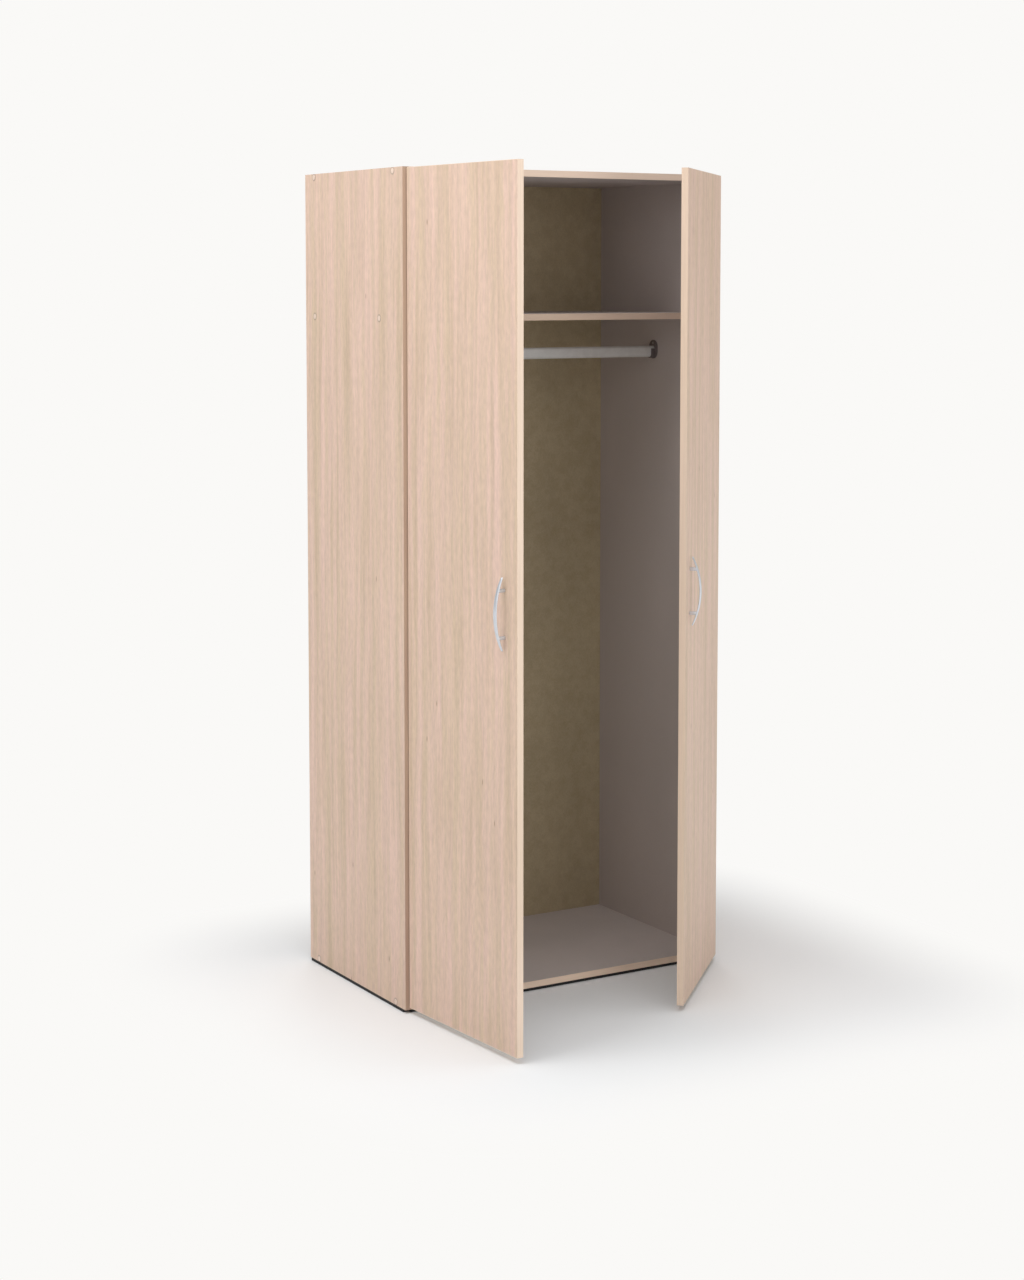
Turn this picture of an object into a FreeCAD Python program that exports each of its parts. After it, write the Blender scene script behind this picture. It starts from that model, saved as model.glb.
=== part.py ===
import FreeCAD, Part
import math
import os

# Two-door wardrobe.  Millimetres, +Z up.  The origin is on the floor, under the middle of the
# carcass: X runs across the front, -Y is the front and +Y is the back.  Every part of the left
# half is built where it is and mirrored for the right half.

V = FreeCAD.Vector
X_AXIS = V(1, 0, 0)
Y_AXIS = V(0, 1, 0)
Z_AXIS = V(0, 0, 1)

# ---------------------------------------------------------------- driving dimensions: carcass
width = 900.0                 # outside
depth = 520.0                 # with the back panel, without the doors
height = 2000.0               # without the glides
board = 16.0                  # melamine faced particle board
back_sheet = 3.0              # hardboard back panel
carcass_band = 0.5            # edge band on the carcass boards
back_inset = 2.0              # back panel, inside the carcass outline
shelf_middle = 1647.0         # hat shelf, middle of the board above the carcass bottom
shelf_setback = 70.0          # hat shelf, behind the carcass front
glide_height = 8.0

# ---------------------------------------------------------------- driving dimensions: doors
door_band = 1.0               # edge band on all four edges
door_edge_inset = 1.5         # closed door, inside the carcass side
door_middle_gap = 3.0         # between the two closed doors
door_gap = 2.0                # between a closed door and the carcass front
door_bottom_inset = 6.0       # closed door, above the carcass bottom
door_top_inset = 2.0          # closed door, below the carcass top
left_open = 85.8              # degrees, as stored
right_open = 44.4             # degrees, as stored

handle_length = 166.0
handle_post_spacing = 106.0
handle_projection = 28.5      # door face to the outside of the bar, at its middle
handle_tip_gap = 2.5          # door face to the inside of the bar, at its tips
handle_width = 12.0
handle_thickness = 5.5
handle_post_radius = 4.5
handle_from_edge = 50.0       # in from the free edge of the door
handle_middle = 1000.0        # above the carcass bottom

# ---------------------------------------------------------------- driving dimensions: fittings
rail_height = 29.0
rail_thickness = 15.0
rail_wall = 1.2
rail_middle = 1552.0          # above the carcass bottom
rail_from_front = 262.0
cradle_width = 35.0
cradle_rise = 15.0            # of the cradle's tab above the rail
cradle_plate = 3.0
cradle_reach = 14.0           # of the cradle into the wardrobe

screw_inset = 50.0            # carcass screws, in from a board's front and back edges
screw_radii = (5.0, 3.5, 2.5)        # head, shank and thread of a carcass screw
screw_steps = (4.0, 16.0, 50.0)      # where each of them ends, from the outside
cap_radius = 6.5
cap_thickness = 0.5

hinge_count = 4
hinge_end_inset = 100.0       # first and last hinge, in from the ends of the door
cup_radius = 17.5
cup_middle = 21.0             # in from the edge of the door
cup_depth = 12.0
cup_wall = 1.0
flange_thickness = 1.2

# Hinge pivots of the closed left door, from the outer front edge of the carcass side.  The
# outer link turns on ARM_OUTER and carries the door on CUP_OUTER.  The inner link turns on
# ARM_INNER, and its other end follows CUP_INNER.
ARM_OUTER = V(25.4, 9.7, 0)
CUP_OUTER = V(10.7, -6.0, 0)
ARM_INNER = V(33.6, 0.6, 0)
CUP_INNER = V(15.7, -9.4, 0)
OUTER_KNEE = V(19.6, -10.9, 0)
INNER_KNEE = V(28.4, -10.0, 0)
INNER_TIP = V(18.6, -10.7, 0)
outer_turn = 0.40             # turn of the outer link per degree of door opening
inner_turn = 0.20             # turn of the inner link per degree of door opening
link_width = 6.7
link_gap = 0.3                # beside a link
link_thickness = 2.2
arm_pin = 1.2                 # radius
cup_pin = 1.1                 # radius
pivot_clearance = 0.05
cheek = 1.5                   # sheet of the hinge arm

# ---------------------------------------------------------------- worked out
bottom_z = glide_height
top_z = bottom_z + height
side_x = -width / 2.0
inner_x = side_x + board
front_y = -depth / 2.0
back_y = depth / 2.0
board_back_y = back_y - back_sheet
shelf_front_y = front_y + shelf_setback
door_x0 = side_x + door_edge_inset
door_x1 = -door_middle_gap / 2.0
door_in_y = front_y - door_gap
door_out_y = door_in_y - board
door_z0 = bottom_z + door_bottom_inset
door_z1 = top_z - door_top_inset
hinge_step = (door_z1 - door_z0 - 2.0 * hinge_end_inset) / (hinge_count - 1)
hinge_heights = [door_z0 + hinge_end_inset + hinge_step * i for i in range(hinge_count)]

nodes = {}


# ---------------------------------------------------------------- helpers
def add(name, shapes):
    """Puts solids into a node."""
    found = []
    for shape in shapes:
        found.extend(shape.Solids)
    nodes.setdefault(name, []).extend(found)


def block(x0, x1, y0, y1, z0, z1):
    return Part.makeBox(x1 - x0, y1 - y0, z1 - z0, V(x0, y0, z0))


def rod(radius, start, direction, length):
    return Part.makeCylinder(radius, length, start, direction)


def mirrored(shape):
    """The right-hand twin of a left-hand shape."""
    return shape.mirror(V(0, 0, 0), X_AXIS)


def add_pair(name, left_shapes, right_shapes=None):
    """A left node, and a right node that mirrors it."""
    add(name + "_left", left_shapes)
    add(name + "_right", [mirrored(s) for s in (right_shapes or left_shapes)])


def cut_all(shape, tools):
    return shape.cut(Part.makeCompound(tools))


def profile(points, z0, z1):
    """A straight-sided plate with the given outline."""
    wire = Part.makePolygon([V(p.x, p.y, z0) for p in points + points[:1]])
    return Part.Face(wire).extrude(V(0, 0, z1 - z0))


def bar_between(a, b, radius, z0, z1):
    """A flat bar with round ends, from a to b."""
    along = V(b.x - a.x, b.y - a.y, 0)
    side = V(-along.y, along.x, 0).normalize() * radius
    low = V(0, 0, z0)
    ends = [rod(radius, V(p.x, p.y, z0), Z_AXIS, z1 - z0) for p in (a, b)]
    corners = [a + side, b + side, b - side, a - side]
    return profile(corners, z0, z1).fuse(ends[0]).fuse(ends[1])


def turned(shape, centre, degrees):
    """Turned about a vertical axis, counter-clockwise from above."""
    copy = shape.copy()
    copy.rotate(centre, Z_AXIS, degrees)
    return copy


def turned_point(point, centre, degrees):
    turn = FreeCAD.Rotation(Z_AXIS, degrees)
    return centre + turn.multVec(point - centre)


def hinge_point(local):
    """A pivot given from the carcass side's outer front edge, in the wardrobe's frame."""
    return V(side_x + local.x, front_y + local.y, 0)


arm_outer = hinge_point(ARM_OUTER)
arm_inner = hinge_point(ARM_INNER)
cup_outer = hinge_point(CUP_OUTER)
cup_inner = hinge_point(CUP_INNER)


def opened_door(shape, degrees):
    """A closed door's part, moved to where it is with the door open."""
    carried = turned_point(cup_outer, arm_outer, outer_turn * degrees)
    copy = turned(shape, cup_outer, -degrees)
    copy.translate(carried - cup_outer)
    return copy


def opened_outer_link(shape, degrees):
    return turned(shape, arm_outer, outer_turn * degrees)


def opened_inner_link(shape, degrees):
    return turned(shape, arm_inner, inner_turn * degrees)


def add_moving_pair(name, shapes, move):
    """A moving left part at its stored opening, and its right twin at its own."""
    left = [move(s, left_open) for s in shapes]
    right = [move(s, right_open) for s in shapes]
    add_pair(name, left, right)


# ---------------------------------------------------------------- fasteners
def stepped_screw(start, direction, radii, ends):
    """Coaxial cylinders, one after another, the first one at start."""
    solid = None
    done = 0.0
    for radius, end in zip(radii, ends):
        piece = rod(radius, start + direction * done, direction, end - done)
        solid = piece if solid is None else solid.fuse(piece)
        done = end
    return solid.removeSplitter()


def carcass_screw_places():
    """Starts of the left-hand carcass screws, on the outside of the side panel."""
    rows = (
        (top_z - board / 2.0, front_y),
        (bottom_z + shelf_middle, shelf_front_y),
        (bottom_z + board / 2.0, front_y),
    )
    places = []
    for z, board_front in rows:
        for y in (board_front + screw_inset, board_back_y - screw_inset):
            places.append(V(side_x, y, z))
    return places


screw_blanks = [stepped_screw(p, X_AXIS, screw_radii, screw_steps) for p in carcass_screw_places()]


def make_carcass_screws():
    socket_depth = 3.0
    socket_radius = 2.0
    screws = []
    for place, blank in zip(carcass_screw_places(), screw_blanks):
        screws.append(blank.cut(rod(socket_radius, place, X_AXIS, socket_depth)))
    caps = [rod(cap_radius, p - X_AXIS * cap_thickness, X_AXIS, cap_thickness)
            for p in carcass_screw_places()]
    add("carcass_screws", screws + [mirrored(s) for s in screws])
    add("screw_caps", caps + [mirrored(c) for c in caps])


nail_radius = 0.9
nail_head_radius = 2.6
nail_head = 0.6
nail_length = 20.0
nails_up = 9
nails_across = 5


def back_nail_places():
    """Left-hand back panel nails along a side, and half of those along the boards."""
    middle = board / 2.0
    step = (height - 2.0 * middle) / (nails_up - 1)
    side = [V(side_x + middle, back_y, bottom_z + middle + step * i) for i in range(nails_up)]
    pitch = (width / 2.0 - middle) / nails_across
    rows = (bottom_z + middle, bottom_z + shelf_middle, top_z - middle)
    shelf_side = [V(side_x + middle + pitch * (i + 1), back_y, z)
                  for i in range(nails_across - 1) for z in rows]
    return side + shelf_side


back_nails = [
    rod(nail_radius, p, -Y_AXIS, nail_length).fuse(rod(nail_head_radius, p, Y_AXIS, nail_head))
    for p in back_nail_places()
]
back_nails = back_nails + [mirrored(n) for n in back_nails]


# ---------------------------------------------------------------- floor skids, strip and glide
glide_width = 14.0
glide_length = 42.0                   # of the glide under the middle of the bottom panel
skid_from_front = 14.0                # skid under a side panel, behind the carcass front
skid_from_back = 3.0                  # and in front of the back panel
skid_nail_inset = 80.0                # first and last nail, clear of the carcass screws
skid_nail_count = 3
strip_from_front = 4.0                # strip under the bottom panel, behind the carcass front
strip_end_gap = 1.0                   # strip, inside the carcass sides
strip_nail_x = 300.0                  # outer nails of the strip, either side of the middle
glide_nail_head = (3.0, 1.5)
glide_nail_shank = (1.1, 17.0)        # ends inside the bottom panel
glide_recess = 3.5
skid_x = side_x + board / 2.0
skid_front = front_y + skid_from_front
skid_back = board_back_y - skid_from_back


def skid_nail_places():
    """Nails through the skid under the left side panel."""
    first = skid_front + skid_nail_inset
    step = (skid_back - skid_nail_inset - first) / (skid_nail_count - 1)
    return [V(skid_x, first + step * i, 0) for i in range(skid_nail_count)]


def glide_nail(place):
    head_radius, head = glide_nail_head
    shank_radius, length = glide_nail_shank
    foot = V(place.x, place.y, glide_recess)
    return rod(head_radius, foot, Z_AXIS, head).fuse(rod(shank_radius, foot, Z_AXIS, length))


def strip_nail_places():
    """Nails through the strip under the front of the bottom panel."""
    y = front_y + strip_from_front + glide_width / 2.0
    return [V(x, y, 0) for x in (-strip_nail_x, 0, strip_nail_x)]


skid_nails = [glide_nail(p) for p in skid_nail_places()]
strip_nails = [glide_nail(p) for p in strip_nail_places()]
middle_nail = glide_nail(V(0, 0, 0))
glide_nails = skid_nails + [mirrored(n) for n in skid_nails] + strip_nails + [middle_nail]


def nailed_down(solid, nails, places):
    """A glide with its nails let in, each one in a recess that opens on the floor."""
    mouths = [rod(glide_nail_head[0], p, Z_AXIS, glide_recess) for p in places]
    return cut_all(solid, nails + mouths)


def make_glides():
    """A skid under each side panel, a strip behind the front, and a pad on the origin."""
    skid = nailed_down(
        block(skid_x - glide_width / 2.0, skid_x + glide_width / 2.0, skid_front, skid_back,
              0.0, glide_height),
        skid_nails, skid_nail_places())
    end = inner_x + strip_end_gap
    strip_y = front_y + strip_from_front
    strip = nailed_down(
        block(end, -end, strip_y, strip_y + glide_width, 0.0, glide_height),
        strip_nails, strip_nail_places())
    half = (glide_length - glide_width) / 2.0
    pad = nailed_down(
        bar_between(-Y_AXIS * half, Y_AXIS * half, glide_width / 2.0, 0.0, glide_height),
        [middle_nail], [V(0, 0, 0)])
    add("floor_glides", [skid, mirrored(skid), strip, pad])
    add("glide_nails", glide_nails)


# ---------------------------------------------------------------- hanging rail
rail_z = bottom_z + rail_middle
rail_y = front_y + rail_from_front
cradle_fit = 0.2
cradle_wall = 2.5
cradle_foot = 1.8                     # of the plate below the cradle
cradle_screw = (1.6, 13.0)            # radius, length
cradle_screw_drop = 8.0               # upper screw, below the top of the plate
cradle_screw_head = (3.4, 2.0)


def oval(half_y, half_z, x0, x1, middle_z=rail_z):
    """A flat-sided oval bar along X, on the rail's centre line unless told otherwise."""
    straight = half_z - half_y
    low = middle_z - straight
    high = middle_z + straight
    front = rail_y - half_y
    back = rail_y + half_y
    tip = V(x0, rail_y, high + half_y)
    foot = V(x0, rail_y, low - half_y)
    outline = [
        Part.LineSegment(V(x0, front, low), V(x0, front, high)),
        Part.Arc(V(x0, front, high), tip, V(x0, back, high)),
        Part.LineSegment(V(x0, back, high), V(x0, back, low)),
        Part.Arc(V(x0, back, low), foot, V(x0, front, low)),
    ]
    wire = Part.Wire([edge.toShape() for edge in outline])
    return Part.Face(wire).extrude(V(x1 - x0, 0, 0))


def cradle_screw_places():
    tab_z = rail_z + rail_height / 2.0 + cradle_rise - cradle_screw_drop
    return [V(inner_x + cradle_plate, rail_y, z) for z in (tab_z, rail_z)]


def cradle_screw_solid(place):
    head_radius, head = cradle_screw_head
    radius, length = cradle_screw
    return rod(head_radius, place, -X_AXIS, head).fuse(rod(radius, place, -X_AXIS, length))


cradle_screws = [cradle_screw_solid(p) for p in cradle_screw_places()]


def make_rail():
    half_y = rail_thickness / 2.0
    half_z = rail_height / 2.0
    end_x = inner_x + cradle_plate
    tube = oval(half_y, half_z, end_x, -end_x)
    hollow = oval(half_y - rail_wall, half_z - rail_wall, end_x, -end_x)
    add("hanging_rail", [tube.cut(hollow)])

    plate_top = rail_z + half_z + cradle_rise
    plate_bottom = rail_z - half_z - cradle_fit - cradle_wall - cradle_foot
    half_width = cradle_width / 2.0
    plate_middle = (plate_top + plate_bottom) / 2.0
    plate = oval(half_width, (plate_top - plate_bottom) / 2.0, inner_x, end_x, plate_middle)
    seat_x = inner_x + cradle_reach
    shell = oval(half_y + cradle_fit + cradle_wall, half_z + cradle_fit + cradle_wall, end_x, seat_x)
    seat = oval(half_y + cradle_fit, half_z + cradle_fit, end_x, seat_x)
    open_top = block(end_x, seat_x, rail_y - half_width, rail_y + half_width, rail_z + half_y,
                     plate_top)
    cup = shell.cut(seat).cut(open_top)
    support = cut_all(plate.fuse(cup), cradle_screws).removeSplitter()
    add_pair("rail_support", [support])
    add("rail_support_screws", cradle_screws + [mirrored(s) for s in cradle_screws])


# ---------------------------------------------------------------- hinges
plate_screw_spread = 16.0
plate_screw_from_front = 37.0
plate_thickness = 2.5
plate_wing = 7.0                      # half width of the plate round its screws
saddle_half_width = 5.5
saddle_front = 16.0                   # in front of the plate screws
saddle_back = 18.0                    # behind the plate screws
saddle_height = 9.5
web_x = inner_x + saddle_height + cheek
web_from_front = 15.0
arm_back_from_front = 64.0
web_front = front_y + web_from_front
arm_back = front_y + arm_back_from_front
nose_root = 4.0                       # root of the arm's nose, behind the front of the web
cheek_clearance = 0.5                 # between the arm's cheeks and the plate
plate_screw = (2.5, 13.0)
plate_screw_head = (4.2, 1.8)
clamp_screw_head = (3.5, 1.5)
clamp_screw_shank = (2.0, 6.0)
clamp_screw_behind = 10.0             # behind the plate screws
cup_screw = (1.75, 10.0)
cup_screw_head = (3.4, 1.4)
cup_screw_spread = 24.0
cup_screw_offset = 6.0
flange_half_length = 31.0
flange_half_width = 9.0
arm_eye = 1.4                         # metal round a pivot hole of the arm
cup_eye = 1.0                         # metal round a pivot hole at the cup
pin_end_gap = 0.1                     # cup pin, inside the outside of the cup


def at_each_hinge(shape):
    """Copies of a hinge part built at height zero, one for each hinge of the door."""
    return [shape.translated(V(0, 0, z)) for z in hinge_heights]


def plate_screw_solid(sign):
    head_radius, head = plate_screw_head
    radius, length = plate_screw
    face = V(inner_x + plate_thickness, front_y + plate_screw_from_front, sign * plate_screw_spread)
    return rod(radius, face, -X_AXIS, length + plate_thickness).fuse(
        rod(head_radius, face, X_AXIS, head))


hinge_plate_screws = [plate_screw_solid(-1), plate_screw_solid(1)]


def cup_axis_point(z):
    return V(door_x0 + cup_middle, door_in_y, z)


def cup_screw_solid(sign):
    head_radius, head = cup_screw_head
    radius, length = cup_screw
    face = cup_axis_point(sign * cup_screw_spread)
    start = V(face.x + cup_screw_offset, door_in_y + flange_thickness, face.z)
    return rod(radius, start, -Y_AXIS, length).fuse(rod(head_radius, start, Y_AXIS, head))


hinge_cup_screws = [cup_screw_solid(-1), cup_screw_solid(1)]


def pin(centre, radius, half_length):
    return rod(radius, V(centre.x, centre.y, -half_length), Z_AXIS, 2.0 * half_length)


def cup_pin_solid(centre, top=None):
    """A pin held in the curved wall of the cup, at both ends or up to a given height."""
    far_side = abs(door_x0 + cup_middle - centre.x) + cup_pin
    reach = math.sqrt(cup_radius ** 2 - far_side ** 2) - pin_end_gap
    top = reach if top is None else top
    return rod(cup_pin, V(centre.x, centre.y, -reach), Z_AXIS, reach + top)


cheek_inside = link_width + 2.0 * link_gap
cheek_outside = cheek_inside + cheek
outer_arm_pin = pin(arm_outer, arm_pin, cheek_outside)
inner_arm_pin = pin(arm_inner, arm_pin, cheek_outside)
outer_cup_pin = cup_pin_solid(cup_outer)
inner_cup_pin = cup_pin_solid(cup_inner, 0.0)


def clamp_screw_solid():
    """Holds the arm on the saddle."""
    head_radius, head = clamp_screw_head
    radius, length = clamp_screw_shank
    face = V(web_x, front_y + plate_screw_from_front + clamp_screw_behind, 0)
    return rod(head_radius, face, X_AXIS, head).fuse(rod(radius, face, -X_AXIS, length))


hinge_clamp_screw = clamp_screw_solid()


def hinge_plate():
    y = front_y + plate_screw_from_front
    reach = plate_screw_spread + plate_wing
    plate = block(inner_x, inner_x + plate_thickness, y - plate_wing, y + plate_wing, -reach, reach)
    saddle = block(inner_x, inner_x + saddle_height, y - saddle_front, y + saddle_back,
                   -saddle_half_width, saddle_half_width)
    return cut_all(plate.fuse(saddle), hinge_plate_screws + [hinge_clamp_screw]).removeSplitter()


def hinge_arm():
    """A bent sheet arm: two cheeks that carry the pivots, joined by a web over the plate."""
    cheek_x = inner_x + plate_thickness + cheek_clearance
    nose_radius = arm_pin + arm_eye
    root = V(web_x - nose_radius, web_front + nose_root, 0)
    solid = block(web_x - cheek, web_x, web_front, arm_back, -cheek_outside, cheek_outside)
    for z0 in (-cheek_outside, cheek_inside):
        z1 = z0 + cheek
        solid = solid.fuse(block(cheek_x, web_x, web_front, arm_back, z0, z1))
        solid = solid.fuse(bar_between(arm_outer, arm_inner, nose_radius, z0, z1))
        solid = solid.fuse(bar_between(arm_outer, root, nose_radius, z0, z1))
    solid = cut_all(solid, [outer_arm_pin, inner_arm_pin, hinge_clamp_screw])
    return solid.removeSplitter()


def hinge_link(points, z0, arm_hole, cup_hole):
    """A bent strip through the given points, with an eye at each pivot."""
    z1 = z0 + link_width
    solid = None
    for a, b in zip(points, points[1:]):
        strip = bar_between(a, b, link_thickness / 2.0, z0, z1)
        solid = strip if solid is None else solid.fuse(strip)
    arm_end = points[0]
    solid = solid.fuse(rod(arm_hole + arm_eye, V(arm_end.x, arm_end.y, z0), Z_AXIS, link_width))
    solid = solid.cut(rod(arm_hole, V(arm_end.x, arm_end.y, z0), Z_AXIS, link_width))
    if cup_hole:
        cup_end = points[-1]
        solid = solid.fuse(rod(cup_hole + cup_eye, V(cup_end.x, cup_end.y, z0), Z_AXIS, link_width))
        solid = solid.cut(rod(cup_hole, V(cup_end.x, cup_end.y, z0), Z_AXIS, link_width))
    return solid.removeSplitter()


def hinge_cup():
    """A pressed cup with a long flange, screwed to the inside of the door."""
    centre = cup_axis_point(0)
    rim = V(centre.x, door_in_y + flange_thickness, 0)
    body = rod(cup_radius, rim, -Y_AXIS, cup_depth + flange_thickness)
    flange_x = centre.x + cup_screw_offset
    flange = block(flange_x - flange_half_width, flange_x + flange_half_width, door_in_y,
                   door_in_y + flange_thickness, -flange_half_length, flange_half_length)
    hollow = rod(cup_radius - cup_wall, rim, -Y_AXIS, cup_depth + flange_thickness - cup_wall)
    solid = body.fuse(flange).cut(hollow)
    return cut_all(solid, [outer_cup_pin, inner_cup_pin] + hinge_cup_screws).removeSplitter()


def make_hinges():
    outer = hinge_link([arm_outer, hinge_point(OUTER_KNEE), cup_outer], link_gap / 2.0,
                       arm_pin + pivot_clearance, cup_pin + pivot_clearance)
    inner = hinge_link([arm_inner, hinge_point(INNER_KNEE), hinge_point(INNER_TIP)],
                       -link_gap / 2.0 - link_width, arm_pin + pivot_clearance, 0.0)
    add_pair("hinge_plates", at_each_hinge(hinge_plate()))
    add_pair("hinge_arms", at_each_hinge(hinge_arm()))
    add_pair("hinge_arm_pins", at_each_hinge(outer_arm_pin) + at_each_hinge(inner_arm_pin))
    add_pair("hinge_clamp_screws", at_each_hinge(hinge_clamp_screw))
    add_pair("hinge_plate_screws", [s for screw in hinge_plate_screws for s in at_each_hinge(screw)])
    add_moving_pair("hinge_outer_links", at_each_hinge(outer), opened_outer_link)
    add_moving_pair("hinge_inner_links", at_each_hinge(inner), opened_inner_link)
    add_moving_pair("hinge_cups", at_each_hinge(hinge_cup()), opened_door)
    add_moving_pair("hinge_cup_pins", at_each_hinge(outer_cup_pin) + at_each_hinge(inner_cup_pin),
                    opened_door)
    add_moving_pair("hinge_cup_screws", [s for screw in hinge_cup_screws
                                         for s in at_each_hinge(screw)], opened_door)


# ---------------------------------------------------------------- carcass
def make_carcass():
    holes = screw_blanks + back_nails + glide_nails + cradle_screws
    plate_bores = [s for screw in hinge_plate_screws for s in at_each_hinge(screw)]
    band_y = front_y + carcass_band

    side = block(side_x, inner_x, band_y, board_back_y, bottom_z, top_z)
    add_pair("side_panel", [cut_all(side, holes + plate_bores)])
    add_pair("side_edge_band", [block(side_x, inner_x, front_y, band_y, bottom_z, top_z)])

    right_screws = [mirrored(s) for s in screw_blanks]
    bores = holes + right_screws
    levels = (
        ("top", top_z - board, front_y),
        ("shelf", bottom_z + shelf_middle - board / 2.0, shelf_front_y),
        ("bottom", bottom_z, front_y),
    )
    for name, z, y in levels:
        panel = block(inner_x, -inner_x, y + carcass_band, board_back_y, z, z + board)
        strip = block(inner_x, -inner_x, y, y + carcass_band, z, z + board)
        add(name + "_panel", [cut_all(panel, bores)])
        add(name + "_edge_band", [strip])

    sheet = block(side_x + back_inset, -side_x - back_inset, board_back_y, back_y,
                  bottom_z + back_inset, top_z - back_inset)
    add("back_panel", [cut_all(sheet, back_nails)])
    add("back_panel_nails", back_nails)


# ---------------------------------------------------------------- doors
bumper_radius = 4.0
bumper_thickness = 1.7
bumper_from_edge = 20.0
bumper_inset = 1.0                    # bumper, inside the edge of the board it meets
handle_screw = (2.0, 4.2, 2.4)        # radius, head radius, head height
handle_thread = 6.0                   # of the screw inside the post


def handle_places():
    x = door_x1 - handle_from_edge
    half = handle_post_spacing / 2.0
    middle = bottom_z + handle_middle
    return [V(x, door_out_y, middle - half), V(x, door_out_y, middle + half)]


def handle_screw_solid(place):
    radius, head_radius, head = handle_screw
    inside = V(place.x, door_in_y, place.z)
    shank = rod(radius, inside, -Y_AXIS, board + handle_thread)
    return shank.fuse(rod(head_radius, inside, Y_AXIS, head))


def handle_solid():
    """A bowed oval bar on two round posts."""
    half = handle_length / 2.0
    crown = handle_projection - handle_thickness / 2.0
    rise = crown - handle_tip_gap - handle_thickness / 2.0
    radius = (half ** 2 + rise ** 2) / (2.0 * rise)
    sweep = math.degrees(math.asin(half / radius))
    x = door_x1 - handle_from_edge
    middle = bottom_z + handle_middle
    centre = V(x, door_out_y - crown + radius, middle)
    section = Part.Ellipse(V(0, 0, 0), handle_width / 2.0, handle_thickness / 2.0).toShape()
    face = Part.Face(Part.Wire(section))
    face.translate(V(x, centre.y - radius, middle))
    face.rotate(centre, X_AXIS, -sweep)
    bar = face.revolve(centre, X_AXIS, 2.0 * sweep)
    drop = radius - math.sqrt(radius ** 2 - (handle_post_spacing / 2.0) ** 2)
    reach = crown - drop
    posts = [rod(handle_post_radius, p, -Y_AXIS, reach) for p in handle_places()]
    return bar.fuse(posts[0]).fuse(posts[1])


def make_doors():
    x0 = door_x0 + door_band
    x1 = door_x1 - door_band
    z0 = door_z0 + door_band
    z1 = door_z1 - door_band
    panel = block(x0, x1, door_out_y, door_in_y, z0, z1)
    cup_bore = rod(cup_radius, cup_axis_point(0), -Y_AXIS, cup_depth)
    bores = at_each_hinge(cup_bore)
    for screw in hinge_cup_screws:
        bores = bores + at_each_hinge(screw)
    screws = [handle_screw_solid(p) for p in handle_places()]
    add_moving_pair("door_panel", [cut_all(panel, bores + screws)], opened_door)

    bands = [
        block(door_x0, x0, door_out_y, door_in_y, door_z0, door_z1),
        block(x1, door_x1, door_out_y, door_in_y, door_z0, door_z1),
        block(x0, x1, door_out_y, door_in_y, door_z0, z0),
        block(x0, x1, door_out_y, door_in_y, z1, door_z1),
    ]
    add_moving_pair("door_edge_bands", bands, opened_door)
    add_moving_pair("handle", [cut_all(handle_solid(), screws)], opened_door)
    add_moving_pair("handle_screws", screws, opened_door)

    bumper_x = door_x1 - bumper_from_edge
    margin = bumper_radius + bumper_inset
    bumper_heights = (bottom_z + board - margin, top_z - board + margin)
    bumpers = [rod(bumper_radius, V(bumper_x, door_in_y, z), Y_AXIS, bumper_thickness)
               for z in bumper_heights]
    add_moving_pair("door_bumpers", bumpers, opened_door)


# ---------------------------------------------------------------- build
def write_parts():
    os.makedirs("parts", exist_ok=True)
    for name, solids in nodes.items():
        shape = solids[0] if len(solids) == 1 else Part.makeCompound(solids)
        shape.exportStep("parts/" + name + ".step")
        box = shape.BoundBox
        print("%-28s %3d solids  valid %s  %8.1f cm3  x %.1f..%.1f y %.1f..%.1f z %.1f..%.1f" % (
            name, len(solids), shape.isValid(), shape.Volume / 1000.0,
            box.XMin, box.XMax, box.YMin, box.YMax, box.ZMin, box.ZMax))
    print(len(nodes), "nodes")


def print_joints():
    """Pivots at the stored opening, and the ratios that tie the links to the doors."""
    for side, sign, opening in (("left", 1.0, left_open), ("right", -1.0, right_open)):
        carried = turned_point(cup_outer, arm_outer, outer_turn * opening)
        for label, p in (("outer link", arm_outer), ("inner link", arm_inner), ("door", carried)):
            print(side, label, "pivot mm", round(sign * p.x, 4), round(p.y, 4))


make_carcass_screws()
make_glides()
make_rail()
make_hinges()
make_carcass()
make_doors()
write_parts()
print_joints()
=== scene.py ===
import math

import bmesh
import bpy
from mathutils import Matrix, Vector


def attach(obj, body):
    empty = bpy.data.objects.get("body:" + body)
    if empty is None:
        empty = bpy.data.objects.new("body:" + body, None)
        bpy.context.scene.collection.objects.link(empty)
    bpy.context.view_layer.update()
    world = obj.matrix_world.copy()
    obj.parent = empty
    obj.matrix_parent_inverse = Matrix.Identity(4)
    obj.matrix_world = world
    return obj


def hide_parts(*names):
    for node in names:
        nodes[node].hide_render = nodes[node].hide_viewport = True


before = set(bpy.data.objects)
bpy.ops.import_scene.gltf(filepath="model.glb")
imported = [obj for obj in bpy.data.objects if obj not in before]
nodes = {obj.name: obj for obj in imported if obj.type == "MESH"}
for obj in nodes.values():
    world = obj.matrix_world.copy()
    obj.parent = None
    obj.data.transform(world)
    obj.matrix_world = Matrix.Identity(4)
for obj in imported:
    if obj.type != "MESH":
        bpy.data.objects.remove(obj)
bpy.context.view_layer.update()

# Opening angles of the doors at rest, in degrees.
LEFT_OPEN = 85.8
RIGHT_OPEN = 44.4

X = Vector((1.0, 0.0, 0.0))
Y = Vector((0.0, 1.0, 0.0))
Z = Vector((0.0, 0.0, 1.0))


def turned_about_z(direction, degrees):
    angle = math.radians(degrees)
    c, s = math.cos(angle), math.sin(angle)
    return Vector((direction.x * c - direction.y * s, direction.x * s + direction.y * c, direction.z))


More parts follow.
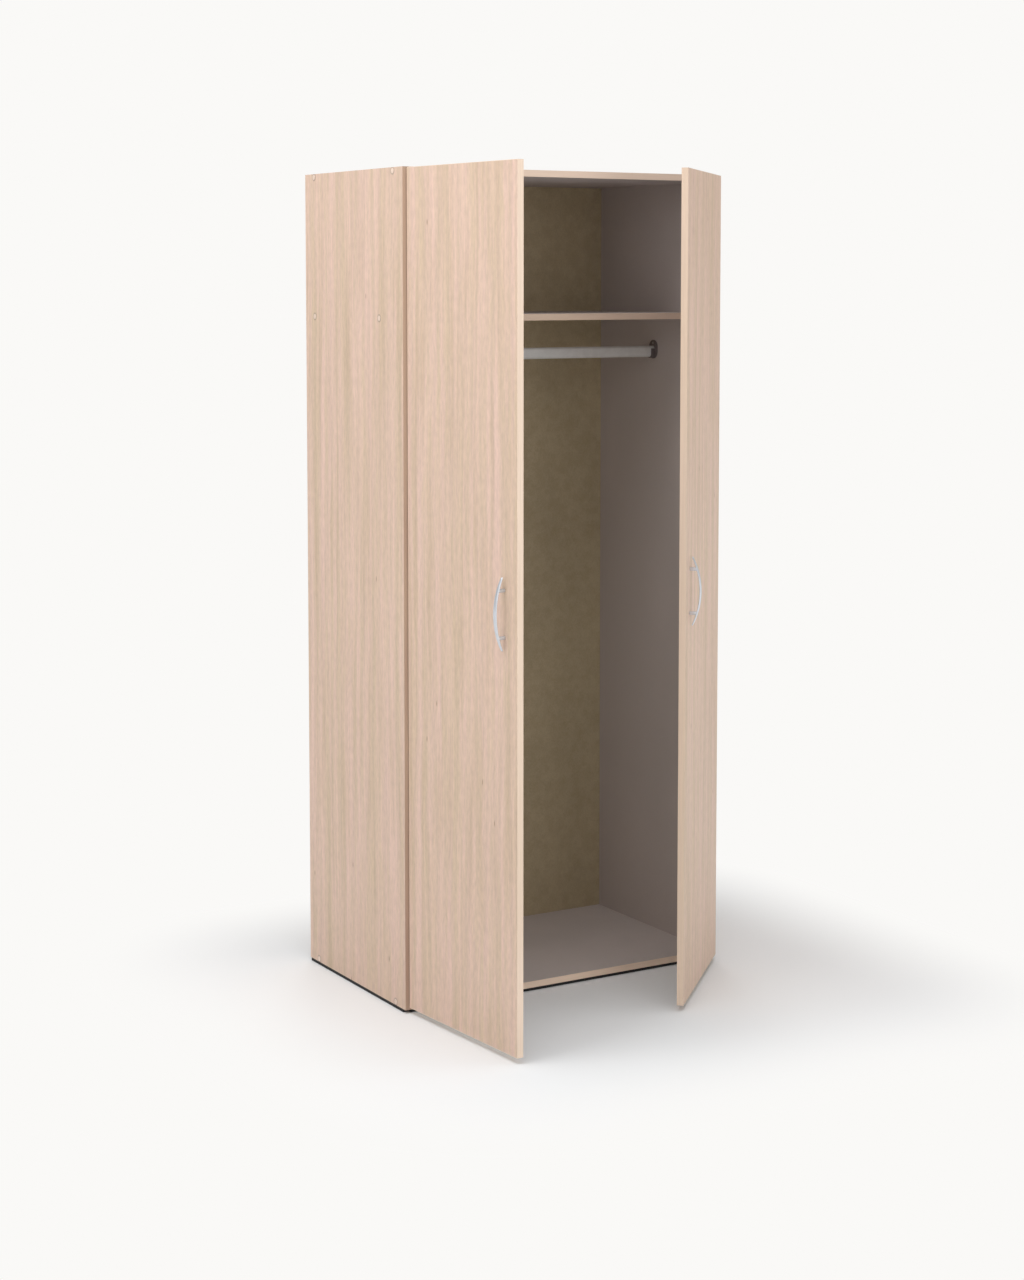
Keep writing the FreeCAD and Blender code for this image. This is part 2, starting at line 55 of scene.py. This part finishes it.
LEFT_OUT = turned_about_z(-Y, -LEFT_OPEN)
RIGHT_OUT = turned_about_z(-Y, RIGHT_OPEN)
LEFT_ACROSS = turned_about_z(X, -LEFT_OPEN)
RIGHT_ACROSS = turned_about_z(X, RIGHT_OPEN)


# ---------------------------------------------------------------- materials

class Surface:
    """A procedural material: a Principled shader and the nodes that feed it."""

    def __init__(self, name, **constants):
        self.data = bpy.data.materials.new(name)
        self.data.use_nodes = True
        self.tree = self.data.node_tree
        self.shader = self.tree.nodes["Principled BSDF"]
        self.coords = self.add("ShaderNodeTexCoord").outputs["Object"]
        for socket, value in constants.items():
            self.shader.inputs[socket.replace("_", " ")].default_value = value

    def add(self, kind, **settings):
        node = self.tree.nodes.new(kind)
        for key, value in settings.items():
            setattr(node, key, value)
        return node

    def feed(self, socket, value):
        if isinstance(value, bpy.types.NodeSocket):
            self.tree.links.new(value, socket)
        else:
            socket.default_value = value

    def math(self, operation, a, b=0.0, c=0.0):
        node = self.add("ShaderNodeMath", operation=operation)
        for socket, value in zip(node.inputs, (a, b, c)):
            self.feed(socket, value)
        return node.outputs[0]

    def along(self, direction):
        node = self.add("ShaderNodeVectorMath", operation="DOT_PRODUCT")
        self.feed(node.inputs[0], self.coords)
        node.inputs[1].default_value = direction
        return node.outputs["Value"]

    def point(self, u, v, w=0.0):
        node = self.add("ShaderNodeCombineXYZ")
        for socket, value in zip(node.inputs, (u, v, w)):
            self.feed(socket, value)
        return node.outputs[0]

    def scaled(self, vector, scale, shift=(0.0, 0.0, 0.0)):
        node = self.add("ShaderNodeMapping")
        self.feed(node.inputs["Vector"], vector)
        node.inputs["Scale"].default_value = scale
        node.inputs["Location"].default_value = shift
        return node.outputs[0]

    def noise(self, vector, detail=3.0, roughness=0.5):
        node = self.add("ShaderNodeTexNoise")
        self.feed(node.inputs["Vector"], vector)
        node.inputs["Scale"].default_value = 1.0
        node.inputs["Detail"].default_value = detail
        node.inputs["Roughness"].default_value = roughness
        return node.outputs[0]

    def even_noise(self, scale, detail=3.0, roughness=0.5):
        """Noise of one size in every direction of the object."""
        return self.noise(self.scaled(self.coords, (scale, scale, scale)), detail, roughness)

    def spread(self, value, low, high, to_low=0.0, to_high=1.0):
        node = self.add("ShaderNodeMapRange", clamp=True, interpolation_type="SMOOTHSTEP")
        self.feed(node.inputs["Value"], value)
        for socket, number in zip(list(node.inputs)[1:5], (low, high, to_low, to_high)):
            socket.default_value = number
        return node.outputs[0]

    def vary(self, noise, to_low, to_high):
        """The middle of a noise's range, spread between two values."""
        return self.spread(noise, 0.3, 0.7, to_low, to_high)

    def product(self, first, *others):
        for other in others:
            first = self.math("MULTIPLY", first, other)
        return first

    def blend(self, factor, a, b):
        node = self.add("ShaderNodeMix", data_type="RGBA")
        for socket, value in ((node.inputs[0], factor), (node.inputs[6], a), (node.inputs[7], b)):
            self.feed(socket, value)
        return node.outputs[2]

    def shade(self, colour, value):
        """The colour multiplied by a value near 1."""
        node = self.add("ShaderNodeVectorMath", operation="SCALE")
        plain = not isinstance(colour, bpy.types.NodeSocket)
        self.feed(node.inputs[0], colour[:3] if plain else colour)
        self.feed(node.inputs["Scale"], value)
        return node.outputs[0]

    def colour(self, value):
        self.feed(self.shader.inputs["Base Color"], value)

    def bump(self, height, strength, distance):
        node = self.add("ShaderNodeBump")
        node.inputs["Strength"].default_value = strength
        node.inputs["Distance"].default_value = distance
        self.feed(node.inputs["Height"], height)
        self.feed(self.shader.inputs["Normal"], node.outputs[0])


def linear(r, g, b):
    """An 8-bit display colour as a linear one."""
    def channel(c):
        c = c / 255.0
        return c / 12.92 if c <= 0.04045 else ((c + 0.055) / 1.055) ** 2.4
    return (channel(r), channel(g), channel(b), 1.0)


PINK = linear(229, 199, 184)
BEIGE = linear(220, 196, 170)
TAN = linear(205, 180, 153)
KNOT = linear(158, 124, 98)

# Where a board is cut from the print, per unit of its seed.
SEED_ACROSS = 3.7
SEED_ALONG = 5.3
GRAIN_WANDER = 0.035            # how far the grain strays sideways, in metres

# Screw caps on a side panel: (y, z) of their middles, in metres.
CAP_PLACES = (
    (-0.210, 0.016), (0.207, 0.016),
    (-0.140, 1.655), (0.207, 1.655),
    (-0.210, 2.000), (0.207, 2.000),
)
CAP_SHADE_REACH = (0.0066, 0.0115)    # where the painted shade round a cap starts to fade, and ends
# how dark the painted shade right next to a cap makes the side panel
CAP_PAINTED_SHADE = 0.62


def decor(name, across, grain, seed, figure=None, cap_shade=False):
    """Light wood print: fine streaks along the grain, pink and beige bands, flecks and small knots."""
    m = Surface(name, Roughness=0.5, Specular_IOR_Level=0.22)
    u = m.math("ADD", m.along(across), seed * SEED_ACROSS)
    v = m.math("ADD", m.along(grain), seed * SEED_ALONG)
    wander = m.noise(m.scaled(m.point(u, v, seed), (5.0, 1.6, 1.0)))
    flat = m.point(m.math("MULTIPLY_ADD", wander, GRAIN_WANDER, u), v, seed)
    bands = m.noise(m.scaled(flat, (32.0, 0.8, 1.0)), detail=4.0, roughness=0.6)
    dashes = m.noise(m.scaled(flat, (95.0, 9.0, 1.0), (2.0, 6.0, 4.0)), roughness=0.6)
    tans = m.noise(m.scaled(flat, (48.0, 1.8, 2.0), (7.0, 3.0, 1.0)))
    streaks = m.noise(m.scaled(flat, (72.0, 2.0, 1.0)), roughness=0.6)
    flecks = m.noise(m.scaled(flat, (150.0, 42.0, 1.0), (5.0, 2.0, 9.0)), roughness=0.6)
    fibres = m.noise(m.scaled(flat, (620.0, 14.0, 1.0)), detail=2.0)
    pores = m.noise(m.scaled(flat, (800.0, 42.0, 1.0), (3.0, 1.0, 5.0)), detail=1.0)
    pinkness = m.spread(m.math("MULTIPLY_ADD", dashes, 0.45, bands), 0.5, 0.92)
    tone = m.blend(pinkness, BEIGE, PINK)
    tone = m.blend(m.spread(tans, 0.48, 0.72, 0.0, 0.5), tone, TAN)
    shades = [
        m.spread(streaks, 0.25, 0.75, 0.94, 1.05),
        m.vary(bands, 0.975, 1.025),
        m.vary(flecks, 1.05, 0.94),
        m.vary(fibres, 0.98, 1.02),
        m.spread(pores, 0.64, 0.8, 1.0, 0.92),
    ]
    if figure:
        shades.append(cathedral(m, u, v, seed, figure))
    # painted shade round the screw caps
    if cap_shade:
        shades.append(cap_painted_shade(m))
    tone = m.shade(tone, m.product(*shades))
    cells = m.add("ShaderNodeTexVoronoi", voronoi_dimensions="2D")
    m.feed(cells.inputs["Vector"], m.scaled(flat, (4.2, 1.5, 1.0)))
    cells.inputs["Scale"].default_value = 1.0
    knot = m.spread(cells.outputs["Distance"], 0.003, 0.015, 0.6, 0.0)
    m.colour(m.blend(knot, tone, KNOT))
    m.bump(m.math("ADD", fibres, pores), 0.18, 0.0002)
    return m.data


ARCH_SHARPNESS = 62.0           # how steeply the growth lines arch
LINE_PITCH = 190.0
LINE_WAVER = 0.03
LINE_STRENGTH = 0.022
FIGURE_NARROWNESS = 180.0       # how soon the figure fades across the grain
FIGURE_SHORTNESS = 22.0         # and along it


def cathedral(m, u, v, seed, figure):
    """Arched growth lines that fade out round their middle; figure is (across, along) of that middle."""
    du = m.math("SUBTRACT", u, figure[0] + seed * SEED_ACROSS)
    dv = m.math("SUBTRACT", v, figure[1] + seed * SEED_ALONG)
    du_squared = m.math("MULTIPLY", du, du)
    dv_squared = m.math("MULTIPLY", dv, dv)
    arch = m.math("MULTIPLY_ADD", du_squared, ARCH_SHARPNESS, dv)
    rough = m.noise(m.scaled(m.point(u, v), (30.0, 9.0, 1.0)), detail=2.0)
    wavering = m.math("MULTIPLY_ADD", rough, LINE_WAVER, arch)
    lines = m.math("SINE", m.math("MULTIPLY", wavering, LINE_PITCH))
    far = m.math("ADD", m.math("MULTIPLY", du_squared, FIGURE_NARROWNESS),
                 m.math("MULTIPLY", dv_squared, FIGURE_SHORTNESS))
    near = m.spread(far, 0.1, 1.0, 1.0, 0.0)
    return m.math("MULTIPLY_ADD", m.math("MULTIPLY", lines, near), LINE_STRENGTH, 1.0)


def cap_painted_shade(m):
    """Painted shade: a thin dark ring on a side panel round each screw cap, where the cap would shade
    the board.
    """
    flat = m.point(0.0, m.along(Y), m.along(Z))
    nearest = 1.0
    for y, z in CAP_PLACES:
        away = m.add("ShaderNodeVectorMath", operation="DISTANCE")
        m.feed(away.inputs[0], flat)
        away.inputs[1].default_value = (0.0, y, z)
        nearest = m.math("MINIMUM", away.outputs["Value"], nearest)
    return m.spread(nearest, *CAP_SHADE_REACH, CAP_PAINTED_SHADE, 1.0)


# Noise scales of an edge strip whose lines run level and upright.
LEVEL = (7.0, 420.0, 420.0)
UPRIGHT = (420.0, 420.0, 7.0)
BAND_PATCH = linear(222, 198, 172)


def banding(name, base, grain):
    """Edge strip: a plain colour with faint lines along its length."""
    m = Surface(name, Roughness=0.42, Specular_IOR_Level=0.4)
    lines = m.noise(m.scaled(m.coords, grain), detail=2.0)
    soft = m.even_noise(2.0, detail=2.0)
    tone = m.blend(m.spread(soft, 0.35, 0.65, 0.0, 0.35), base, BAND_PATCH)
    m.colour(m.shade(tone, m.vary(lines, 0.965, 1.025)))
    m.bump(lines, 0.1, 0.0002)
    return m.data


def shaded_lining():
    """Plain warm grey melamine of the inside faces, with a fine matt texture; its colour is made darker
    as painted shade for the dim inside.
    """
    m = Surface("shaded_lining", Roughness=0.62, Specular_IOR_Level=0.3)
    cloud = m.noise(m.scaled(m.coords, (3.0, 3.0, 1.4)))
    grit = m.even_noise(900.0, detail=2.0)
    tone = m.blend(m.spread(cloud, 0.35, 0.65), linear(193, 184, 181), linear(200, 190, 187))
    m.colour(m.shade(tone, m.vary(grit, 0.97, 1.03)))
    m.bump(grit, 0.2, 0.0002)
    return m.data


SCREEN_PITCH = 2600.0


def hardboard(name, light, dark, screened=False):
    """Pressed fibre board: mottled, with short fibres, and a screen pattern on its rough face."""
    m = Surface(name, Roughness=0.72, Specular_IOR_Level=0.25)
    mottle = m.even_noise(34.0, detail=6.0, roughness=0.7)
    patch = m.noise(m.scaled(m.coords, (4.0, 4.0, 2.5)))
    fibre = m.noise(m.scaled(m.coords, (520.0, 520.0, 260.0)))
    tone = m.blend(m.spread(mottle, 0.34, 0.68), dark, light)
    tone = m.shade(tone, m.vary(patch, 0.93, 1.05))
    m.colour(m.shade(tone, m.vary(fibre, 0.93, 1.05)))
    height = fibre
    if screened:
        wires = [m.math("SINE", m.math("MULTIPLY", m.along(d), SCREEN_PITCH)) for d in (X, Z)]
        height = m.math("MULTIPLY_ADD", m.product(*wires), 0.5, fibre)
    m.bump(height, 0.25, 0.0003)
    return m.data


def chipboard():
    """Raw cut edge of particle board: pale and dark chips pressed together."""
    m = Surface("chipboard", Roughness=0.85, Specular_IOR_Level=0.15)
    cells = m.add("ShaderNodeTexVoronoi")
    m.feed(cells.inputs["Vector"], m.scaled(m.coords, (300.0, 420.0, 300.0)))
    cells.inputs["Scale"].default_value = 1.0
    dust = m.even_noise(900.0)
    chip = m.add("ShaderNodeSeparateColor")
    m.feed(chip.inputs[0], cells.outputs["Color"])
    tone = m.blend(m.spread(chip.outputs[0], 0.1, 0.9), linear(150, 118, 84), linear(214, 186, 146))
    m.colour(m.shade(tone, m.vary(dust, 0.9, 1.05)))
    m.bump(m.math("ADD", dust, cells.outputs["Distance"]), 0.5, 0.0004)
    return m.data


def metal(name, colour, roughness, brushed=False, metallic=1.0):
    """Satin or plated metal with fine variation in its polish."""
    m = Surface(name, Metallic=metallic, Specular_IOR_Level=0.5)
    haze = m.even_noise(60.0)
    if brushed:
        lines = m.noise(m.scaled(m.coords, (30.0, 1400.0, 1400.0)), detail=2.0)
    else:
        lines = m.even_noise(900.0, detail=2.0)
    m.colour(m.shade(colour, m.vary(haze, 0.97, 1.03)))
    m.feed(m.shader.inputs["Roughness"], m.vary(lines, roughness - 0.04, roughness + 0.05))
    m.bump(lines, 0.06, 0.0001)
    return m.data


def plastic(name, colour, roughness):
    """Moulded plastic or rubber with a fine grained skin."""
    m = Surface(name, Specular_IOR_Level=0.4)
    skin = m.even_noise(700.0, detail=2.0)
    wear = m.even_noise(40.0)
    m.colour(m.shade(colour, m.vary(wear, 0.92, 1.08)))
    m.feed(m.shader.inputs["Roughness"], m.vary(skin, roughness - 0.05, roughness + 0.06))
    m.bump(skin, 0.15, 0.0002)
    return m.data


SHADED_LINING = shaded_lining()
CHIPS = chipboard()
# Painted light and shade: the edge strips are one real colour, but each has its own copy made lighter or
# darker for the light or shade it gets. The upright and shelf strips are darkest, and the bottom and
# left door strips are lightest.
UPRIGHT_BAND_SHADED = banding("carcass_band_upright_shaded", linear(184, 156, 138), UPRIGHT)
TOP_BAND_LIT = banding("carcass_band_top_lit", linear(232, 208, 190), LEVEL)
SHELF_BAND_SHADED = banding("carcass_band_shelf_shaded", linear(196, 172, 155), LEVEL)
BOTTOM_BAND_LIT = banding("carcass_band_bottom_lit", linear(246, 220, 199), LEVEL)
DOOR_BANDS_LIT_AND_SHADED = {
    "left": banding("door_band_left_lit", linear(244, 221, 200), UPRIGHT),
    "right": banding("door_band_right_shaded", linear(228, 203, 182), UPRIGHT),
}
BACK_FRONT = hardboard("hardboard_smooth", linear(199, 184, 153), linear(189, 173, 141))
BACK_REAR = hardboard("hardboard_rough", linear(152, 121, 89), linear(137, 107, 77), screened=True)
SATIN = metal("handle_satin", linear(214, 219, 226), 0.34, metallic=0.5)
RAIL = metal("rail_grey", linear(232, 233, 231), 0.34, brushed=True, metallic=0.25)
NICKEL = metal("hinge_nickel", linear(196, 194, 190), 0.28)
ZINC = metal("screw_zinc", linear(178, 178, 176), 0.36)
SUPPORT = plastic("rail_support_dark", linear(112, 103, 103), 0.55)
# Black plastic glides, partly painted shade: near-black so that they stand in for the dark shadow gap
# under the carcass.
GLIDE_BLACK_AS_SHADE = plastic("glide_black_gap_shade", linear(24, 24, 25), 0.55)
RUBBER = plastic("bumper_grey", linear(188, 184, 178), 0.6)
CAP = plastic("cap_beige", linear(236, 214, 198), 0.4)
SIDE_LEFT = decor("decor_side_left", Y, Z, 1.0, figure=(0.02, 0.62), cap_shade=True)
SIDE_RIGHT = decor("decor_side_right", Y, Z, 2.0, figure=(0.06, 1.30), cap_shade=True)
FACE_LEFT = decor("decor_door_left", LEFT_ACROSS, Z, 3.0, figure=(0.52, 0.34))
FACE_RIGHT = decor("decor_door_right", RIGHT_ACROSS, Z, 4.0, figure=(0.05, 0.80))
FLAT_DECOR = decor("decor_level", Y, X, 5.0)


# ---------------------------------------------------------------- the frame's own parts

SAME_WAY = 0.95                 # cosine above which a face counts as looking along a direction


def finish_node(name, material, faces=()):
    """Gives a part its material, and the faces that look along a direction their own."""
    mesh = nodes[name].data
    mesh.materials.clear()
    mesh.materials.append(material)
    for index, (direction, other) in enumerate(faces, start=1):
        mesh.materials.append(other)
        for polygon in mesh.polygons:
            if polygon.normal.dot(direction) > SAME_WAY:
                polygon.material_index = index


def smooth_node(name, degrees=35.0):
    mesh = nodes[name].data
    mesh.shade_smooth()
    mesh.set_sharp_from_angle(angle=math.radians(degrees))


finish_node("side_panel_left", SIDE_LEFT, ((X, SHADED_LINING), (Y, CHIPS), (-Z, CHIPS)))
finish_node("side_panel_right", SIDE_RIGHT, ((-X, SHADED_LINING), (Y, CHIPS), (-Z, CHIPS)))
finish_node("top_panel", FLAT_DECOR, ((-Z, SHADED_LINING), (Y, CHIPS)))
finish_node("shelf_panel", SHADED_LINING, ((Y, CHIPS),))
finish_node("bottom_panel", SHADED_LINING, ((Y, CHIPS),))
finish_node("back_panel", BACK_FRONT, ((Y, BACK_REAR),))
finish_node("door_panel_left", FACE_LEFT, ((-LEFT_OUT, SHADED_LINING),))
finish_node("door_panel_right", FACE_RIGHT, ((-RIGHT_OUT, SHADED_LINING),))
for side in ("left", "right"):
    finish_node("side_edge_band_" + side, UPRIGHT_BAND_SHADED)
    finish_node("door_edge_bands_" + side, DOOR_BANDS_LIT_AND_SHADED[side])
    finish_node("rail_support_" + side, SUPPORT)
    finish_node("door_bumpers_" + side, RUBBER)
    for screws in ("handle", "hinge_cup", "hinge_plate", "hinge_clamp"):
        finish_node(screws + "_screws_" + side, ZINC)
    for part in ("arms", "arm_pins", "plates", "cups", "cup_pins", "inner_links", "outer_links"):
        finish_node("hinge_" + part + "_" + side, NICKEL)
        smooth_node("hinge_" + part + "_" + side)
    smooth_node("rail_support_" + side)
    smooth_node("door_bumpers_" + side)
finish_node("top_edge_band", TOP_BAND_LIT)
finish_node("shelf_edge_band", SHELF_BAND_SHADED)
finish_node("bottom_edge_band", BOTTOM_BAND_LIT)
for part, material in (
    ("hanging_rail", RAIL),
    ("floor_glides", GLIDE_BLACK_AS_SHADE),
    ("screw_caps", CAP),
    ("carcass_screws", ZINC),
    ("rail_support_screws", ZINC),
    ("glide_nails", ZINC),
    ("back_panel_nails", ZINC),
):
    finish_node(part, material)
    smooth_node(part)


# ---------------------------------------------------------------- handles

HANDLE_WIDTH = 0.012
HANDLE_THICKNESS = 0.0055
TIP_WIDTH = 0.0066
TIP_THICKNESS = 0.0036
TIP_CLEARANCE = 0.0025          # between the tips of the bar and the door
TIP_ROUND_FROM = 0.965          # share of the half length where a tip starts to round off
TIP_ROUND_LENGTH = 0.035
TIP_SMALLEST = 0.12             # last ring, as a share of the bar's section
SLIMMING = 2.2                  # power that keeps the bar wide until near its tips
ARC_SHARE = 0.985               # share of the arc that the bar covers
BAR_STEPS = 64
POST_RADIUS = 0.0044
POST_FROM_MIDDLE = 0.053
POST_SINK = 0.0002              # height of a post's first ring over the door


def reach(name, direction):
    """Lowest and highest place of a part along a direction."""
    places = [v.co.dot(direction) for v in nodes[name].data.vertices]
    return min(places), max(places)


def ring(bm, middle, sideways, outwards, half_width, half_depth, count=20):
    points = []
    for i in range(count):
        a = 2.0 * math.pi * i / count
        aside = sideways * (half_width * math.cos(a))
        outside = outwards * (half_depth * math.sin(a))
        points.append(bm.verts.new(middle + aside + outside))
    return points


def bridge(bm, first, second):
    count = len(first)
    for i in range(count):
        j = (i + 1) % count
        bm.faces.new((first[i], first[j], second[j], second[i]))


def close_end(bm, points, middle, flip):
    """A closed end: a fan to one vertex."""
    tip = bm.verts.new(middle)
    count = len(points)
    for i in range(count):
        j = (i + 1) % count
        bm.faces.new((points[j], points[i], tip) if flip else (points[i], points[j], tip))


def tube(bm, sections, start, end):
    rings = [ring(bm, *section) for section in sections]
    for first, second in zip(rings, rings[1:]):
        bridge(bm, first, second)
    close_end(bm, rings[0], start, True)
    close_end(bm, rings[-1], end, False)


def make_handle(side, out, across):
    """Bow handle: an oval bar on an arc, slimmer towards its tips, on two round posts."""
    cad = "handle_" + side
    face, outer = reach(cad, out)
    low, high = reach(cad, Z)
    near, far = reach(cad, across)
    origin = out * face + across * (near + far) / 2.0 + Z * (low + high) / 2.0
    half = (high - low) / 2.0
    crown = outer - face - HANDLE_THICKNESS / 2.0
    rise = crown - (TIP_CLEARANCE + HANDLE_THICKNESS / 2.0)
    radius = (half ** 2 + rise ** 2) / (2.0 * rise)
    swing = math.asin(half / radius)
    bm = bmesh.new()
    sections = []
    for i in range(BAR_STEPS + 1):
        t = -1.0 + 2.0 * i / BAR_STEPS
        angle = swing * ARC_SHARE * t
        bow = crown - radius * (1.0 - math.cos(angle))
        place = origin + out * bow + Z * (radius * math.sin(angle))
        normal = out * math.cos(angle) + Z * math.sin(angle)
        slim = abs(t) ** SLIMMING
        into_tip = max(0.0, (abs(t) - TIP_ROUND_FROM) / TIP_ROUND_LENGTH)
        size = max(math.sqrt(max(0.0, 1.0 - into_tip ** 2)), TIP_SMALLEST)
        width = (HANDLE_WIDTH + (TIP_WIDTH - HANDLE_WIDTH) * slim) * size
        depth = (HANDLE_THICKNESS + (TIP_THICKNESS - HANDLE_THICKNESS) * slim) * size
        sections.append((place, across, normal, width / 2.0, depth / 2.0))
    tube(bm, sections, sections[0][0], sections[-1][0])
    for sign in (-1.0, 1.0):
        z = sign * POST_FROM_MIDDLE
        bar = crown - radius + math.sqrt(radius ** 2 - z ** 2)
        foot = origin + Z * z
        profile = (
            (POST_SINK, POST_RADIUS - 0.0002),
            (0.0005, POST_RADIUS),
            (bar - 0.0035, POST_RADIUS),
            (bar - 0.0012, POST_RADIUS),
            (bar, POST_RADIUS - 0.0008),
        )
        parts = [(foot + out * h, Z, across, r, r) for h, r in profile]
        tube(bm, parts, foot + out * POST_SINK, foot + out * bar)
    bmesh.ops.recalc_face_normals(bm, faces=bm.faces)
    mesh = bpy.data.meshes.new("bow_handle_" + side)
    bm.to_mesh(mesh)
    bm.free()
    mesh.shade_smooth()
    mesh.set_sharp_from_angle(angle=math.radians(40.0))
    mesh.materials.append(SATIN)
    piece = bpy.data.objects.new("bow_handle_" + side, mesh)
    bpy.context.scene.collection.objects.link(piece)
    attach(piece, side + "_door")
    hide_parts(cad)


make_handle("left", LEFT_OUT, LEFT_ACROSS)
make_handle("right", RIGHT_OUT, RIGHT_ACROSS)


# ---------------------------------------------------------------- floor, light and camera

PALE = linear(250, 249, 247)
FLOOR_RADIUS = 30.0
FLOOR_COLOUR = (0.90, 0.913, 0.925, 1.0)
FOOTPRINT_X = (0.06, 0.50)      # middle and half size of the shaded ground, in metres
FOOTPRINT_Y = (-0.20, 0.46)
SHADE_FADE = (0.06, 0.58)       # where the shading starts to fade outside that, and ends
FLOOR_DROP = 0.0004             # floor below the wardrobe's feet


def make_floor():
    bm = bmesh.new()
    bmesh.ops.create_circle(bm, cap_ends=True, segments=96, radius=FLOOR_RADIUS)
    bmesh.ops.translate(bm, verts=bm.verts, vec=(0.0, 0.0, -FLOOR_DROP))
    mesh = bpy.data.meshes.new("studio_floor")
    bm.to_mesh(mesh)
    bm.free()
    m = Surface("studio_floor", Roughness=0.9, Specular_IOR_Level=0.1)
    m.colour(FLOOR_COLOUR)
    beside = []
    for direction, middle, half in ((X, *FOOTPRINT_X), (Y, *FOOTPRINT_Y)):
        off_middle = m.math("ABSOLUTE", m.math("SUBTRACT", m.along(direction), middle))
        beside.append(m.math("MAXIMUM", m.math("SUBTRACT", off_middle, half), 0.0))
    away = m.add("ShaderNodeVectorMath", operation="LENGTH")
    m.feed(away.inputs[0], m.point(*beside))
    glow = m.add("ShaderNodeEmission")
    glow.inputs["Color"].default_value = PALE
    join = m.add("ShaderNodeMixShader")
    m.feed(join.inputs[0], m.spread(away.outputs["Value"], *SHADE_FADE))
    m.feed(join.inputs[1], m.shader.outputs[0])
    m.feed(join.inputs[2], glow.outputs[0])
    m.feed(m.tree.nodes["Material Output"].inputs["Surface"], join.outputs[0])
    mesh.materials.append(m.data)
    floor = bpy.data.objects.new("studio_floor", mesh)
    bpy.context.scene.collection.objects.link(floor)


def make_softbox(name, place, target, size, power):
    data = bpy.data.lights.new(name, "AREA")
    data.shape = "SQUARE"
    data.size = size
    data.energy = power
    lamp = bpy.data.objects.new(name, data)
    lamp.location = place
    lamp.rotation_euler = (Vector(target) - Vector(place)).to_track_quat("-Z", "Y").to_euler()
    lamp.visible_camera = False
    bpy.context.scene.collection.objects.link(lamp)


def make_world(seen, fill, strength):
    """Pale backdrop colour for the eye and a weaker fill from the same sky."""
    world = bpy.data.worlds.new("studio")
    world.use_nodes = True
    tree = world.node_tree
    tree.nodes.clear()
    out = tree.nodes.new("ShaderNodeOutputWorld")
    path = tree.nodes.new("ShaderNodeLightPath")
    join = tree.nodes.new("ShaderNodeMixShader")
    skies = []
    for colour, power in ((fill, strength), (seen, 1.0)):
        sky = tree.nodes.new("ShaderNodeBackground")
        sky.inputs["Color"].default_value = colour
        sky.inputs["Strength"].default_value = power
        skies.append(sky)
    tree.links.new(path.outputs["Is Camera Ray"], join.inputs[0])
    tree.links.new(skies[0].outputs[0], join.inputs[1])
    tree.links.new(skies[1].outputs[0], join.inputs[2])
    tree.links.new(join.outputs[0], out.inputs["Surface"])
    bpy.context.scene.world = world


AIM = (0.0, -0.35, 1.05)
# Name, place, what it faces, side length, power.
LAMPS = (
    ("key_left", (-4.9, -1.4, 3.0), AIM, 2.2, 20.0),
    ("key_front_left", (-3.6, -3.9, 3.4), AIM, 2.2, 19.0),
    ("high_left", (-3.2, -0.4, 5.0), AIM, 2.2, 54.0),
    ("high_right", (2.8, -2.0, 4.6), AIM, 2.2, 20.0),
    ("front", (-1.6, -5.6, 3.2), AIM, 2.4, 16.0),
    ("front_low", (0.4, -4.5, 1.0), AIM, 2.0, 31.0),
    ("top", (-0.7, -0.6, 5.2), (0.0, -0.4, 0.0), 4.0, 150.0),
    ("rear", (2.4, 4.8, 1.5), (0.0, 0.25, 1.1), 2.0, 62.0),
)
AMBIENT_COLOUR = (1.0, 0.99, 0.98, 1.0)
AMBIENT = 0.26

make_floor()
make_world(PALE, AMBIENT_COLOUR, AMBIENT)
for lamp in LAMPS:
    make_softbox(*lamp)
bpy.context.scene.view_settings.view_transform = "Standard"

CAMERA_PLACE = (-3.015, -5.066, 1.741)
CAMERA_DOWN = 4.70              # degrees below level
CAMERA_TURN = -30.76            # degrees about the vertical, from facing the back
CAMERA_LENS = 65.59
CAMERA_SHIFT = -0.13

camera_data = bpy.data.cameras.new("camera")
camera_data.sensor_width = 36.0
camera_data.lens = CAMERA_LENS
camera_data.shift_y = CAMERA_SHIFT
camera_data.clip_start = 0.1
camera_data.clip_end = 100.0
camera = bpy.data.objects.new("camera", camera_data)
camera.location = CAMERA_PLACE
camera.rotation_euler = (math.radians(90.0 - CAMERA_DOWN), 0.0, math.radians(CAMERA_TURN))
bpy.context.scene.collection.objects.link(camera)
bpy.context.scene.camera = camera
